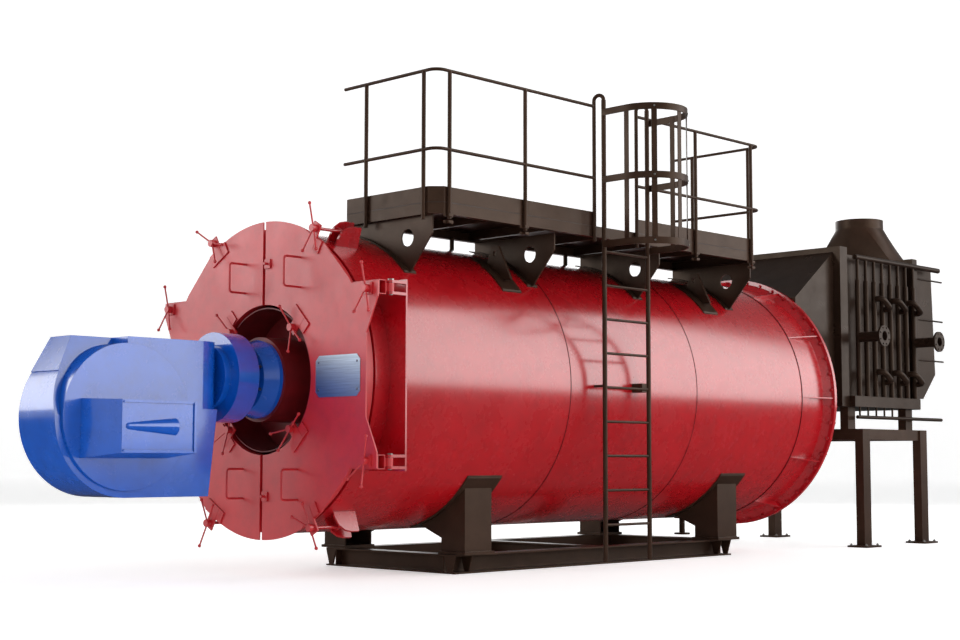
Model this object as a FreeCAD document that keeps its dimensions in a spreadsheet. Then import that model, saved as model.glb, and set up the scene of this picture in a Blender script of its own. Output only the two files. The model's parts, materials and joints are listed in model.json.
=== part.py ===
import FreeCAD, Part
import math
import os
import re
import Sketcher

os.makedirs("parts", exist_ok=True)

# Three-pass fire-tube boiler on a skid, with its forced-draught burner in front, a service
# platform on top and a flue-gas heat recovery unit behind.
# Frame: +X runs from the burner to the rear, -Y is the ladder side, +Z is up. The origin is on
# the floor, under the boiler's axis and the middle of the skid. The stations below are measured
# from the outer face of the closed front doors, and each sub-part is shifted as it is kept.

# ---------------------------------------------------------------- driving dimensions (mm)
DIMENSIONS = """
# boiler body
shell_radius 1250
axis_height 1600
shell_wall 110
shell_start 112
shell_end 6008
seam_one 2389
seam_two 4208
seam_width 3
seam_depth 3
plate_thickness 25
tube_plate_start 520
cover_thickness 16
band_wall 90
band_step 8
flange_radius 1343
flange_thickness 40
flange_face 6525
flange_fillet 60
gusset_count 12
gusset_thickness 12
gusset_rise 70
drain_x 5608
drain_radius 30
drain_bore 27
drain_bolt_circle 62.5
drain_bolt_hole 9
drain_flange_radius 82.5
drain_flange_thickness 18
drain_drop 180
seat_gap 0.3
# front doors
door_radius 1297
door_plate 12
door_depth 100
door_body_radius 1236
door_seam 34
door_hole_radius 612
chamfer_offset 1811
ear_reach 1390
ear_top 712
ear_bottom 590
ear_neck_reach 1262
ear_neck_half 320
arm_start 1085
arm_depth 75
arm_height 110
arm_wall 6
hinge_height 664
hinge_x 125
hinge_y 1400
pin_radius 16
pin_clearance 0.08
pin_head 10
knuckle_radius 26
knuckle_gap 2
lug_thickness 22
lug_half_width 25
post_x 262
post_thickness 16
post_reach 1424
post_half_height 735
handle_height 240
handle_reach 165
handle_rod 9
handle_z 845
handle_near_y 462
handle_far_y 245
catch_z 945
plate_y 938
plate_z 0
plate_width 525
plate_height 325
plate_corner 40
# clamps round the doors
clamp_y 668
clamp_z 1178
ear_clamp_y 1290
ear_clamp_z 655
inner_clamp_radius 572
hub_radius 30
hub_length 46
hub_stand 14
spoke_length 200
spoke_radius 7
spoke_ball 14
spoke_lean 12
clamp_lug 46
clamp_pad_half 118
clamp_pad_thickness 12
edge_pad_reach 169
edge_pad_start 64
rim_pad_reach 146
rim_pad_start 42
spoke_split 155
cheek_x 195
cheek_length 235
cheek_rise 176
cheek_thickness 18
cheek_gap 86
cheek_turn 60.4
cheek_round 120
cheek_taper 36
pivot_radius 15
# burner
recess_radius 590
recess_wall 10
recess_front 24
mount_radius 345
mount_front 40
mount_back 360
dish_radius 318
dish_thickness 150
dish_rim 34
dish_nose_radius 262
burner_half_width 250
scroll_radius 595
scroll_x 1452
scroll_drop 335
outlet_top 262
outlet_x 562
outlet_round 210
throat_top_x 632
throat_low_x 706
side_disc_radius 545
side_disc_rise 26
head_ring_radius 358
head_ring_front 506
head_ring_back 310
head_throat_radius 250
head_neck_half 158
damper_start 1763
damper_length 640
damper_height 380
damper_top 222
damper_reach 672
damper_rim 22
damper_flare 90
damper_spread 38
scoop_start 1700
scoop_end 1300
scoop_radius 65
scoop_tip 30
scoop_sink 18
scoop_wall 8
wrap_top_x 1800
wrap_low_x 1957
wrap_low_z -5
wrap_top_y 30
# skid and saddles
skid_front 1395
skid_back 5329
skid_half_width 825
skid_height 160
skid_flange 140
skid_web 10
skid_plate 14
stiffener_top 130
stiffener_foot 50
cross_width 140
saddle_front_x 1598
saddle_rear_x 5160
saddle_width 320
saddle_reach 900
saddle_inner 620
saddle_heel 295
saddle_toe 330
saddle_toe_z 408
saddle_band_width 410
saddle_band_reach 975
saddle_band_start 280
saddle_base 24
saddle_plate 16
# service platform
platform_start 742
platform_end 5250
platform_near 1256
platform_far 170
platform_height 3026
floor_plate 6
channel_depth 92
channel_flange 50
channel_wall 6
joist_width 50
joist_pitch 733
toe_height 125
toe_wall 4
toe_back_inset 4
corner_cut 90
bracket_first 800
bracket_pitch 1480
bracket_thickness 14
bracket_reach 1160
bracket_corner 150
bracket_tip_y 905
bracket_tip_z 880
bracket_hole_radius 72
bracket_hole_y 868
bracket_hole_drop 165
pad_width 130
pad_thickness 12
prop_radius 20
prop_one_x 1967
prop_two_x 3518
prop_y 200
lug_one_x 1947
lug_two_x 4840
eye_plate 24
eye_top_y 765
eye_foot_y 958
eye_foot 2508
eye_pad_width 232
eye_pad_foot 960
eye_top 2816
eye_half 40
eye_drop 68
eye_hole_radius 24
# guard rails
rail_height 1073
mid_rail_height 426
post_radius 17
rail_radius 14
post_one_x 875
post_pitch 903
gate_post_one 2685
gate_post_two 3283
last_post_x 5105
end_post_far 430
end_post_near 1126
rail_tail 155
post_overhang 45
corner_radius 90
# ladder and cage
ladder_offset 109
stile_one_x 2708
stile_two_x 3324
stile_radius 21
ladder_bottom 72
rung_first 388
rung_pitch 300
rung_radius 12
standoff_width 95
standoff_height 80
hook_spring 4146
cage_centre_y 1640
cage_band 60
cage_thick 8
cage_mouth 200
strap_width 50
strap_thick 6
strap_sink 2
cage_top 4030
cage_middle 3425
cage_bottom 2850
# heat recovery unit and its stand
unit_start 7306
unit_flange_half 930
unit_flange_depth 150
unit_half_width 841
unit_bottom 1545
unit_top 3325
coil_end 9010
rear_flange_depth 110
hood_end 9560
hood_step 60
hood_low 1682
hood_mouth_low 1100
hood_mouth_high 2704
hood_chamfer_x 300
hood_chamfer_z 300
probe_radius 10
probe_overrun 190
probe_first 2144
probe_pitch 486
header_count 8
header_first 7617
header_pitch 176
header_radius 30
header_top 2970
riser_radius 18
manifold_radius 30
manifold_z 3225
header_y 960
trough_height 120
trough_depth 160
bend_radius 55
bend_tube 34
bend_reach 80
bend_rise 55
bend_upper 2722
bend_lower 1893
nozzle_z 2322
nozzle_radius 57
nozzle_bore 53
nozzle_reach 1290
nozzle_flange_radius 117.5
nozzle_flange_thickness 24
nozzle_bolt_circle 95
nozzle_bolt_hole 11
bar_radius 20
bar_start 7564
bar_end 9459
drain_bar_z 1432
drain_pipe_radius 11
flue_x 9287
flue_radius 290
flue_wall 8
flue_collar 110
flue_top 3905
flue_base_half_x 184
flue_base_half_y 594
stand_front 7509
stand_back 8924
stand_half_width 1056
stand_leg_x 150
stand_leg_y 100
stand_top 1300
stand_beam 120
stand_foot 20
stand_foot_over 75
stub_inset 182
"""

document = FreeCAD.newDocument("fire_tube_boiler")
sheet = document.addObject("Spreadsheet::Sheet", "dims")
value = {}
row = 0
for line in DIMENSIONS.strip().splitlines():
    row += 1
    if line.startswith("#"):
        sheet.set("A%d" % row, line.strip("# "))
        continue
    word, number = line.split()
    sheet.set("A%d" % row, word)
    sheet.set("B%d" % row, number)
    sheet.setAlias("B%d" % row, word)
    value[word] = float(number)
document.recompute()

nodes = []


# ---------------------------------------------------------------- helpers
def tied(expression):
    """The expression with each dimension's name turned into a reference to its cell."""
    return re.sub(r"[a-z_]+", lambda m: "dims." + m.group(0) if m.group(0) in value else m.group(0),
                  str(expression))


def place(thing, at, axis=(0, 0, 1), angle=0):
    thing.Placement = FreeCAD.Placement(FreeCAD.Vector(), FreeCAD.Rotation(FreeCAD.Vector(*axis), 1))
    thing.setExpression(".Placement.Rotation.Angle", tied(angle))
    for letter, expression in zip("xyz", at):
        thing.setExpression(".Placement.Base." + letter, tied(expression))
    return thing


def box(name, size, at):
    thing = document.addObject("Part::Box", name)
    for side, expression in zip(("Length", "Width", "Height"), size):
        thing.setExpression(side, tied(expression))
    return place(thing, at)


ALONG = {"X": ((0, 1, 0), 90), "Y": ((1, 0, 0), -90), "Z": ((0, 0, 1), 0)}


def cylinder(name, radius, length, at, along="Z"):
    thing = document.addObject("Part::Cylinder", name)
    thing.setExpression("Radius", tied(radius))
    thing.setExpression("Height", tied(length))
    return place(thing, at, *ALONG[along])


def cone(name, radius, end_radius, length, at, along="Z"):
    thing = document.addObject("Part::Cone", name)
    thing.setExpression("Radius1", tied(radius))
    thing.setExpression("Radius2", tied(end_radius))
    thing.setExpression("Height", tied(length))
    return place(thing, at, *ALONG[along])


def ball(name, radius, at):
    thing = document.addObject("Part::Sphere", name)
    thing.setExpression("Radius", tied(radius))
    return place(thing, at)


def fuse(name, parts):
    thing = document.addObject("Part::MultiFuse", name)
    thing.Shapes = parts
    thing.Refine = True
    return thing


def cut(name, base, tool):
    thing = document.addObject("Part::Cut", name)
    thing.Base = base
    thing.Tool = tool
    return thing


def common(name, parts):
    thing = document.addObject("Part::MultiCommon", name)
    thing.Shapes = parts
    return thing


def group(name, parts, at=(0, 0, 0), axis=(0, 0, 1), angle=0):
    """Several solids in one, or one solid set down again at another place or turn."""
    thing = document.addObject("Part::Compound", name)
    thing.Links = parts
    return place(thing, at, axis, angle)


def mirrored(name, source, normal=(0, 1, 0)):
    thing = document.addObject("Part::Mirroring", name)
    thing.Source = source
    thing.Normal = FreeCAD.Vector(*normal)
    return thing


PAD_REVERSED = {"YZ": False, "XZ": True, "XY": False}


def prism(name, plane, outline, depth, at):
    """A body padded from a closed outline in one origin plane towards that plane's plus side."""
    body = document.addObject("PartDesign::Body", name)
    sketch = body.newObject("Sketcher::SketchObject", name + "_outline")
    origin_plane = [f for f in body.Origin.OriginFeatures if f.Role == plane + "_Plane"][0]
    sketch.AttachmentSupport = [(origin_plane, "")]
    sketch.MapMode = "FlatFace"
    count = len(outline)
    turn = 2 * math.pi / count
    start = [FreeCAD.Vector(900 * math.cos(turn * k), 900 * math.sin(turn * k), 0)
             for k in range(count)]
    for k in range(count):
        sketch.addGeometry(Part.LineSegment(start[k], start[(k + 1) % count]), False)
    for k in range(count):
        sketch.addConstraint(Sketcher.Constraint("Coincident", k, 2, (k + 1) % count, 1))
    for k, (across, up) in enumerate(outline):
        for kind, coordinate, expression in (("DistanceX", start[k].x, across), ("DistanceY", start[k].y, up)):
            index = sketch.addConstraint(Sketcher.Constraint(kind, -1, 1, k, 1, coordinate))
            sketch.setExpression("Constraints[%d]" % index, tied(expression))
    pad = body.newObject("PartDesign::Pad", name + "_pad")
    pad.Profile = sketch
    pad.setExpression("Length", tied(depth))
    pad.Reversed = PAD_REVERSED[plane]
    body.Tip = pad
    return place(body, at)


def rod(name, points, bend, radius):
    """A round bar along straight runs joined by arcs, which neither a primitive nor a pad makes."""
    points = [FreeCAD.Vector(*p) for p in points]
    edges = []
    start = points[0]
    for before, corner, after in zip(points, points[1:], points[2:]):
        back = (before - corner).normalize()
        ahead = (after - corner).normalize()
        half = back.getAngle(ahead) / 2
        reach = bend / math.tan(half)
        middle = (back + ahead).normalize()
        arc_start = corner + back * reach
        arc_end = corner + ahead * reach
        arc_middle = corner + middle * (bend / math.sin(half) - bend)
        edges.append(Part.makeLine(start, arc_start))
        edges.append(Part.Arc(arc_start, arc_middle, arc_end).toShape())
        start = arc_end
    edges.append(Part.makeLine(start, points[-1]))
    spine = Part.Wire(edges)
    section = Part.Wire(Part.makeCircle(radius, points[0], points[1] - points[0]))
    thing = document.addObject("Part::Feature", name)
    thing.Shape = spine.makePipeShell([section], True, False)
    return thing


def node(label, thing):
    """The finished sub-part, set down with the frame's origin under the middle of the skid."""
    part = group("set_" + label, [thing], ("-(skid_front + skid_back) / 2", 0, 0))
    part.Label = label
    nodes.append(part)
    return part


def boiler_cylinder(name, radius, start, end):
    """A cylinder on the boiler's axis between two stations along X."""
    return cylinder(name, radius, "(%s) - (%s)" % (end, start), (start, 0, "axis_height"), "X")


def boiler_ring(name, outer, inner, start, end):
    return cut(name, boiler_cylinder(name + "_outer", outer, start, end),
               boiler_cylinder(name + "_bore", inner, "(%s) - 1" % start, "(%s) + 1" % end))


# ---------------------------------------------------------------- boiler body
def boiler_shell():
    tube = boiler_ring("shell_tube", "shell_radius", "shell_radius - shell_wall", "shell_start", "shell_end")
    grooves = [boiler_ring("groove_" + seam, "shell_radius + 5", "shell_radius - seam_depth",
                           seam, seam + " + seam_width") for seam in ("seam_one", "seam_two")]
    node("boiler_shell", cut("boiler_shell_body", tube, group("grooves", grooves)))


def end_plates():
    bore = "shell_radius - shell_wall - seat_gap"
    node("front_tube_plate", boiler_cylinder("front_plate", bore, "tube_plate_start",
                                             "tube_plate_start + plate_thickness"))
    node("rear_tube_plate", boiler_cylinder("rear_plate", bore, "shell_end - plate_thickness", "shell_end"))
    node("rear_cover", boiler_cylinder("rear_cover_plate", "flange_radius - 20", "flange_face",
                                       "flange_face + cover_thickness"))


def rear_band():
    outer = "shell_radius - band_step"
    back = "flange_face - flange_thickness"
    solids = [boiler_cylinder("band_tube", outer, "shell_end", "flange_face"),
              boiler_cylinder("band_flange", "flange_radius", back, "flange_face"),
              cone("band_fillet", outer, outer + " + flange_fillet", "flange_fillet",
                   (back + " - flange_fillet", 0, "axis_height"), "X")]
    gusset = prism("gusset", "XZ", [("shell_end", outer + " - 20"), (back, outer + " - 20"),
                                    (back, outer + " + flange_fillet + gusset_rise / 3"),
                                    ("shell_end", outer)],
                   "gusset_thickness", (0, "-gusset_thickness / 2", 0))
    for k in range(int(value["gusset_count"])):
        solids.append(group("gusset_%d" % k, [gusset], (0, 0, "axis_height"), (1, 0, 0),
                            "%d * 360 / gusset_count + 90" % k))
    bore = boiler_cylinder("band_bore", outer + " - band_wall", "shell_end - 1", "flange_face + 1")
    node("rear_band", cut("rear_band_body", fuse("band_solid", solids), bore))


def blowdown_nozzle():
    bottom = "axis_height - shell_radius - drain_drop"
    solids = [cylinder("drain_pipe", "drain_radius", "drain_drop + 40", ("drain_x", 0, bottom)),
              cylinder("drain_flange", "drain_flange_radius", "drain_flange_thickness", ("drain_x", 0, bottom)),
              cylinder("drain_pad", "drain_flange_radius", "40",
                       ("drain_x", 0, "axis_height - shell_radius - 12"))]
    shell = boiler_cylinder("drain_seat", "shell_radius + seat_gap", "drain_x - 200", "drain_x + 200")
    holes = [shell, cylinder("drain_hole", "drain_bore", "drain_drop", ("drain_x", 0, bottom + " - 1"))]
    for k in range(4):
        turn = "%d * 90 + 45" % k
        holes.append(cylinder("drain_bolt_%d" % k, "drain_bolt_hole", "drain_flange_thickness + 2",
                              ("drain_x + drain_bolt_circle * cos(%s)" % turn,
                               "drain_bolt_circle * sin(%s)" % turn, bottom + " - 1")))
    node("blowdown_nozzle", cut("blowdown_body", fuse("drain_solid", solids), group("drain_holes", holes)))


def burner_recess():
    solids = [boiler_ring("recess_drum", "recess_radius", "recess_radius - recess_wall", "recess_front",
                          "tube_plate_start"),
              boiler_cylinder("recess_back", "recess_radius", "mount_back", "mount_back + plate_thickness"),
              boiler_cylinder("recess_mount", "mount_radius", "-mount_front", "mount_back + 1")]
    node("burner_recess", fuse("burner_recess_body", solids))


# ---------------------------------------------------------------- front doors
def door_leaf():
    """Near leaf: face plate with a chamfered round edge and two ears, and the insulated half ring."""
    seam = "-door_seam / 2"
    wide = prism("door_wide", "YZ",
                 [(seam, "door_radius + 60"), ("-chamfer_offset + door_radius + 60", "door_radius + 60"),
                  ("-chamfer_offset + ear_top", "ear_top"), ("-ear_neck_reach", "ear_top"),
                  ("-ear_neck_reach", "-ear_top"), ("-chamfer_offset + ear_top", "-ear_top"),
                  ("-chamfer_offset + door_radius + 60", "-door_radius - 60"), (seam, "-door_radius - 60")],
                 "door_plate", (0, 0, "axis_height"))
    disc = boiler_cylinder("door_disc", "door_radius", "0", "door_plate")
    ears = prism("door_ears", "YZ",
                 [("-ear_neck_half * 2.8", "ear_top"), ("-ear_reach", "ear_top"), ("-ear_reach", "ear_bottom"),
                  ("-ear_neck_reach", "ear_neck_half"), ("-ear_neck_reach", "-ear_neck_half"),
                  ("-ear_reach", "-ear_bottom"), ("-ear_reach", "-ear_top"), ("-ear_neck_half * 2.8", "-ear_top")],
                 "door_plate", (0, 0, "axis_height"))
    half = common("door_half", [boiler_cylinder("door_body", "door_body_radius", "door_plate", "door_depth"),
                                box("door_side", ("door_depth", "door_radius", "2 * door_radius"),
                                    (0, "-door_radius - door_seam / 2", "axis_height - door_radius"))])
    plate = fuse("door_plate_solid", [common("door_round", [wide, disc]), ears, half])
    hole = boiler_cylinder("door_hole", "door_hole_radius", "-1", "door_depth + 1")
    leaf = cut("door_near_body", plate, hole)
    node("door_near", leaf)
    node("door_far", mirrored("door_far_body", leaf))


def hinge_arm(name, side):
    """Box-section arm behind an ear, open at its outer end, with the knuckle that turns on the pin."""
    level = "axis_height %s hinge_height" % side
    start = "-hinge_y + 10"
    length = "hinge_y - 10 - arm_start"
    tube = cut(name + "_tube", box(name + "_outer", ("arm_depth", length, "arm_height"),
                                   ("door_plate", start, level + " - arm_height / 2")),
               box(name + "_inner", ("arm_depth - 2 * arm_wall", length + " + 2",
                                     "arm_height - 2 * arm_wall"),
                   ("door_plate + arm_wall", start + " - 1", level + " - arm_height / 2 + arm_wall")))
    tall = "arm_height - 2 * lug_thickness - knuckle_gap - seat_gap"
    foot = level + " - arm_height / 2 + lug_thickness + seat_gap"
    stem = box(name + "_stem", ("hinge_x - door_plate - arm_depth", "knuckle_radius", tall),
               ("door_plate + arm_depth - 1", start, foot))
    barrel = cylinder(name + "_barrel", "knuckle_radius", tall, ("hinge_x", "-hinge_y", foot))
    bore = cylinder(name + "_bore", "pin_radius + pin_clearance", "arm_height", ("hinge_x", "-hinge_y",
                                                                                level + " - arm_height / 2"))
    return cut(name, fuse(name + "_solid", [tube, stem, barrel]), bore)


def hinge_arms():
    arms = [hinge_arm("arm_upper", "+"), hinge_arm("arm_lower", "-")]
    near = group("arms_near", arms)
    node("door_near_arms", near)
    node("door_far_arms", mirrored("arms_far", near))


def hinge_posts():
    plate = prism("post_plate", "YZ", [("-post_reach", "post_half_height"),
                                       ("-post_reach * 0.6", "post_half_height"),
                                       ("-post_reach * 0.6", "-post_half_height"),
                                       ("-post_reach", "-post_half_height")],
                  "post_thickness", ("post_x", 0, "axis_height"))
    lugs = []
    bores = []
    pins = []
    for side in ("+", "-"):
        word = {"+": "upper", "-": "lower"}[side]
        level = "axis_height %s hinge_height" % side
        for name, height in (("top", level + " + arm_height / 2 - lug_thickness"),
                             ("bottom", level + " - arm_height / 2")):
            label = "lug_%s_%s" % (word, name)
            lugs.append(box(label, ("post_x - hinge_x", "2 * lug_half_width", "lug_thickness"),
                            ("hinge_x", "-hinge_y - lug_half_width", height)))
            lugs.append(cylinder(label + "_end", "lug_half_width", "lug_thickness",
                                 ("hinge_x", "-hinge_y", height)))
        bores.append(cylinder("lug_bore_" + word, "pin_radius + pin_clearance", "arm_height + 2",
                              ("hinge_x", "-hinge_y", level + " - arm_height / 2 - 1")))
        shank = cylinder("pin_shank_" + word, "pin_radius", "arm_height + 6",
                         ("hinge_x", "-hinge_y", level + " - arm_height / 2 - 6"))
        head = cylinder("pin_head_" + word, "pin_radius + 9", "pin_head",
                        ("hinge_x", "-hinge_y", level + " + arm_height / 2"))
        pins.append(fuse("pin_" + word, [shank, head]))
    solid = cut("post_welded", fuse("post_solid", [plate] + lugs),
                boiler_cylinder("post_seat", "shell_radius + seat_gap", "post_x - 100", "post_x + 100"))
    post = cut("post_near", solid, group("lug_bores", bores))
    node("hinge_posts", group("posts", [post, mirrored("post_far", post)]))
    node("hinge_pins", group("pins_all", pins + [mirrored("pins_far", group("pins_near", pins))]))


def clamp_lug(name, reach, start):
    """Clamp plate and its raised pad about the nut's centre, with the pad towards minus Z."""
    return fuse(name, [box(name + "_tab", ("hub_stand", "clamp_lug * 2", reach + " + clamp_lug"),
                           ("-hub_stand", "-clamp_lug", "-" + reach)),
                       box(name + "_pad", ("clamp_pad_thickness", "2 * clamp_pad_half",
                                           "%s - %s" % (reach, start)),
                           ("-clamp_pad_thickness", "-clamp_pad_half", "-" + reach))])


def star_nut():
    """Hub with one ball-ended spoke up and two splayed down."""
    hub = cylinder("star_hub", "hub_radius", "hub_length", ("-hub_stand - hub_length", 0, 0), "X")
    spoke = fuse("spoke", [cylinder("spoke_bar", "spoke_radius", "spoke_length", (0, 0, 0)),
                           ball("spoke_end", "spoke_ball", (0, 0, "spoke_length"))])
    lean = group("spoke_leant", [spoke], (0, 0, 0), (0, 1, 0), "-spoke_lean")
    spokes = [group("spoke_%d" % k, [lean], ("-hub_stand - hub_length / 2", 0, 0), (1, 0, 0), turn)
              for k, turn in enumerate(("0", "spoke_split", "-spoke_split"))]
    return fuse("star", [hub] + spokes)


def door_clamps():
    """Nuts of both leaves: the seats repeat by symmetry, the resting turn of each star differs."""
    star = star_nut()
    lugs = {"edge": clamp_lug("edge_lug", "edge_pad_reach", "edge_pad_start"),
            "rim": clamp_lug("rim_lug", "rim_pad_reach", "rim_pad_start"),
            "ear": box("ear_lug", ("hub_stand", "2 * clamp_lug", "2 * clamp_lug"),
                       ("-hub_stand", "-clamp_lug", "-clamp_lug"))}
    offset = {"edge": ("clamp_y", "clamp_z"), "ear": ("ear_clamp_y", "ear_clamp_z"),
              "rim": ("inner_clamp_radius * 0.7071", "inner_clamp_radius * 0.7071")}
    inward = {("near", "upper"): "90 - cheek_turn", ("near", "lower"): "90 + cheek_turn",
              ("far", "upper"): "cheek_turn - 90", ("far", "lower"): "-90 - cheek_turn"}
    outward = {("near", "upper"): "225", ("near", "lower"): "-45",
               ("far", "upper"): "135", ("far", "lower"): "45"}
    rest = {("near", "upper"): {"edge": 0, "ear": 0, "rim": -30},
            ("near", "lower"): {"edge": 140, "ear": 20, "rim": 54},
            ("far", "upper"): {"edge": -56, "ear": 0, "rim": -40},
            ("far", "lower"): {"edge": -165, "ear": -20, "rim": 30}}
    for leaf, across in (("near", "-"), ("far", "+")):
        clamps = []
        for row, up in (("upper", "+"), ("lower", "-")):
            for kind in ("edge", "ear", "rim"):
                y, z = offset[kind]
                at = (0, across + y, "axis_height %s %s" % (up, z))
                turn = {"edge": inward, "rim": outward}.get(kind, {}).get((leaf, row), "0")
                name = "_".join((leaf, row, kind))
                clamps.append(fuse(name, [group(name + "_star", [star], at, (1, 0, 0), rest[leaf, row][kind]),
                                          group(name + "_lug", [lugs[kind]], at, (1, 0, 0), turn)]))
        node("door_%s_clamps" % leaf, group("clamps_" + leaf, clamps))


def handle(name, y, level):
    reach = value["handle_reach"]
    half = value["handle_height"] / 2
    z = value["axis_height"] + level * value["handle_z"]
    return rod(name, [(0, y, z + half), (-reach, y, z + half), (-reach, y, z - half), (0, y, z - half)],
               value["handle_rod"] * 3, value["handle_rod"])


def door_handles():
    near_y = -value["handle_near_y"]
    far_y = value["handle_far_y"]
    catches = []
    for word, side in (("upper", "+"), ("lower", "-")):
        base = box("catch_base_" + word, ("14", "70", "76"),
                   ("-14", "-door_seam / 2 - 74", "axis_height %s catch_z - 38" % side))
        bolt = cylinder("catch_bolt_" + word, "11", "34", ("-48", "-door_seam / 2 - 40",
                                                           "axis_height %s catch_z" % side), "X")
        catches.append(fuse("catch_" + word, [base, bolt]))
    node("door_near_fittings", group("fittings_near", [handle("handle_near_upper", near_y, 1),
                                                       handle("handle_near_lower", near_y, -1)] + catches))
    node("door_far_handles", group("handles_far", [handle("handle_far_upper", far_y, 1),
                                                   handle("handle_far_lower", far_y, -1)]))


def nameplate():
    outline = [("-plate_y - plate_width / 2 + plate_corner", "plate_height / 2"),
               ("-plate_y - plate_width / 2", "plate_height / 2 - plate_corner"),
               ("-plate_y - plate_width / 2", "-plate_height / 2 + plate_corner"),
               ("-plate_y - plate_width / 2 + plate_corner", "-plate_height / 2"),
               ("-plate_y + plate_width / 2 - plate_corner", "-plate_height / 2"),
               ("-plate_y + plate_width / 2", "-plate_height / 2 + plate_corner"),
               ("-plate_y + plate_width / 2", "plate_height / 2 - plate_corner"),
               ("-plate_y + plate_width / 2 - plate_corner", "plate_height / 2")]
    node("data_plate", prism("data_plate_body", "YZ", outline, "4", ("-4", 0, "axis_height + plate_z")))


def clamp_brackets():
    """Forked lugs welded on the shell behind the edge clamps, each with its swing bolt."""
    cheek = prism("cheek", "XZ", [("cheek_x", "shell_radius - 30"),
                                  ("cheek_x + cheek_length", "shell_radius - 30"),
                                  ("cheek_x + cheek_length - cheek_taper", "shell_radius + cheek_rise"),
                                  ("cheek_x + cheek_round", "shell_radius + cheek_rise"),
                                  ("cheek_x + cheek_round / 2", "shell_radius + cheek_rise - cheek_round / 8"),
                                  ("cheek_x + cheek_round / 8", "shell_radius + cheek_rise - cheek_round / 2"),
                                  ("cheek_x", "shell_radius + cheek_rise - cheek_round")],
                  "cheek_thickness", (0, 0, 0))
    bolt_radius = "sqrt(clamp_y ^ 2 + clamp_z ^ 2)"
    pair = [group("cheek_left", [cheek], (0, "-cheek_gap / 2 - cheek_thickness", 0)),
            group("cheek_right", [cheek], (0, "cheek_gap / 2", 0)),
            cylinder("cheek_pivot", "pivot_radius", "cheek_gap + 2 * cheek_thickness",
                     ("cheek_x + 60", "-cheek_gap / 2 - cheek_thickness", bolt_radius), "Y"),
            cylinder("swing_bolt", "pivot_radius - 2", "cheek_x + 60 - 20", ("20", 0, bolt_radius), "X")]
    seat = cylinder("bracket_seat", "shell_radius + seat_gap", "cheek_length + 200", ("cheek_x - 100", 0, 0),
                    "X")
    bracket = cut("bracket", fuse("bracket_solid", pair), seat)
    turned = [group("bracket_%d" % k, [bracket], (0, 0, "axis_height"), (1, 0, 0), turn)
              for k, turn in enumerate(("90 - cheek_turn", "cheek_turn - 90", "90 + cheek_turn",
                                        "-90 - cheek_turn"))]
    node("clamp_brackets", group("brackets", turned))


# ---------------------------------------------------------------- burner
def burner_casing():
    """Fan volute with an outlet box rounded in plan, whose near side leans in above the fan."""
    base = "axis_height"
    wide = "2 * burner_half_width"
    near = "-burner_half_width"
    bottom = "-scroll_drop - scroll_radius"
    scroll = cylinder("scroll", "scroll_radius", wide, ("-scroll_x", near, base + " - scroll_drop"), "Y")
    wrap = prism("wrap_corner", "XZ", [("-scroll_x", "outlet_top"), ("-wrap_top_x", "outlet_top"),
                                       ("-wrap_low_x", "wrap_low_z"), ("-scroll_x", "-scroll_drop")],
                 wide, (0, near, base))
    lean = prism("wrap_lean", "YZ", [(near, bottom), ("burner_half_width", bottom),
                                     ("burner_half_width", "outlet_top"), ("-wrap_top_y", "outlet_top"),
                                     (near, "-scroll_drop")],
                 "scroll_radius + 100", ("-scroll_x - scroll_radius - 50", 0, base))
    volute = common("volute", [fuse("volute_full", [scroll, wrap]), lean])
    outlet = prism("outlet_body", "XZ", [("-scroll_x", "outlet_top"), ("-outlet_x - outlet_round", "outlet_top"),
                                         ("-outlet_x - outlet_round", "-outlet_top"),
                                         ("-throat_top_x", "-outlet_top"), ("-throat_low_x", bottom),
                                         ("-scroll_x", bottom)], wide, (0, near, base))
    solids = [volute, outlet,
              box("outlet_nose", ("outlet_round", "2 * (burner_half_width - outlet_round)", "2 * outlet_top"),
                  ("-outlet_x - outlet_round", "outlet_round - burner_half_width", base + " - outlet_top"))]
    for word, side in (("near", "-"), ("far", "+")):
        solids.append(cylinder("outlet_round_" + word, "outlet_round", "2 * outlet_top",
                               ("-outlet_x - outlet_round", "%s(burner_half_width - outlet_round)" % side,
                                base + " - outlet_top")))
    solids.append(cylinder("side_discs", "side_disc_radius", "2 * (burner_half_width + side_disc_rise)",
                           ("-scroll_x", "-burner_half_width - side_disc_rise", base + " - scroll_drop"), "Y"))
    node("burner_casing", fuse("burner_casing_body", solids))


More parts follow.
